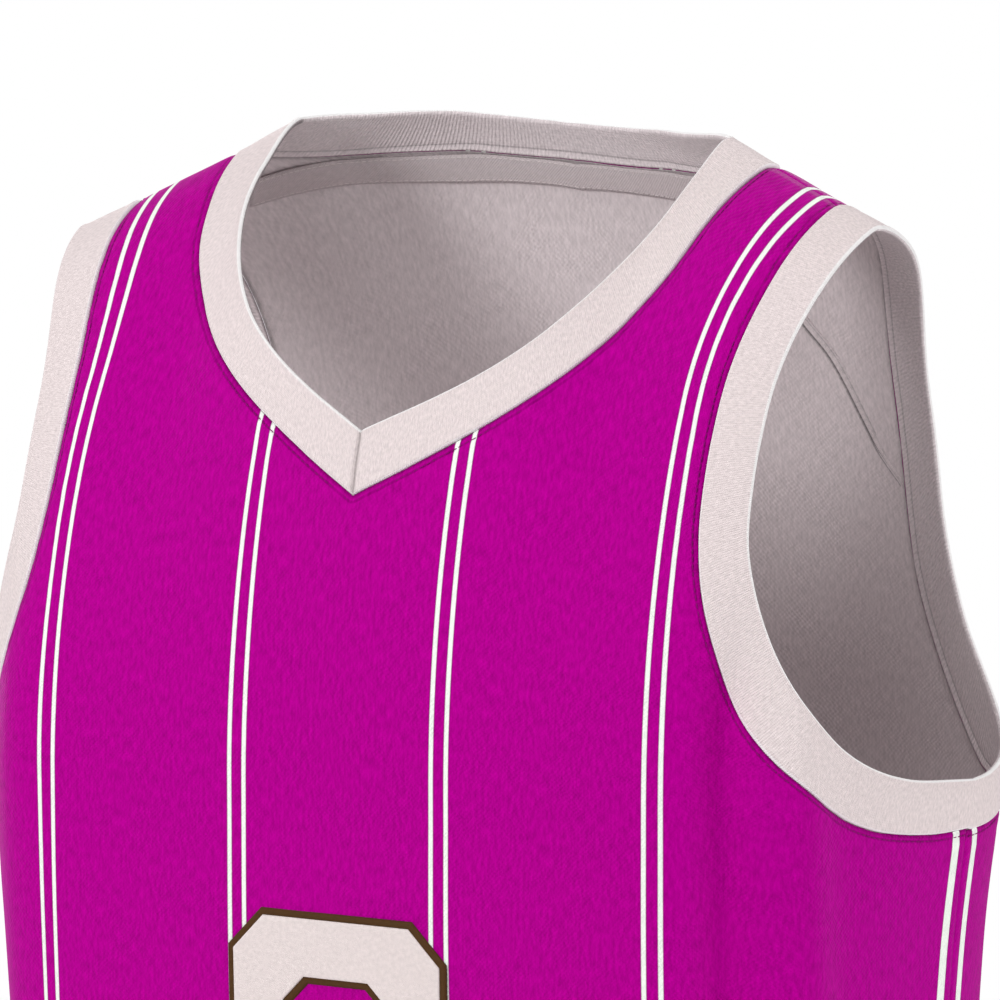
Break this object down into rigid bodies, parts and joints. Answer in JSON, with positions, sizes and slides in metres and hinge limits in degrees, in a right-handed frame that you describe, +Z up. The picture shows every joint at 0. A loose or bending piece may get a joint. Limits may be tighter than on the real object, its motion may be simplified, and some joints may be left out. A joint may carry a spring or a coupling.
{
  "type": "basketball jersey",
  "caption": "Sleeveless V-neck sports jersey, filled out as if worn with nobody in it: rib-like neck and armhole bands, chest number, open hem.",
  "frame": {"origin": "between the shoulders at the height of the neck's side, where the wearer's shoulders hold the jersey", "axes": "+Z up, the front faces -Y, the wearer's left is +X"},
  "size_m": [0.4936, 0.2581, 0.8257],
  "materials": {
    "body_mesh": "magenta polyester knit with a fine dot texture, pale pinstripe pairs, soft satin sheen",
    "band_knit": "matte pinkish-white fine rib knit",
    "tape": "matte woven twill tape",
    "brown_twill": "dark brown tackle twill with a satin-stitched rim",
    "pale_twill": "pale tackle twill, fine diagonal weave"
  },
  "bodies": {
    "root": {"front_panel": "body_mesh", "back_panel": "body_mesh", "neck_band": "band_knit", "armhole_band_left": "band_knit", "armhole_band_right": "band_knit", "neck_tape": "tape", "number_backing": "brown_twill", "number_face": "pale_twill"}
  },
  "joints": []
}
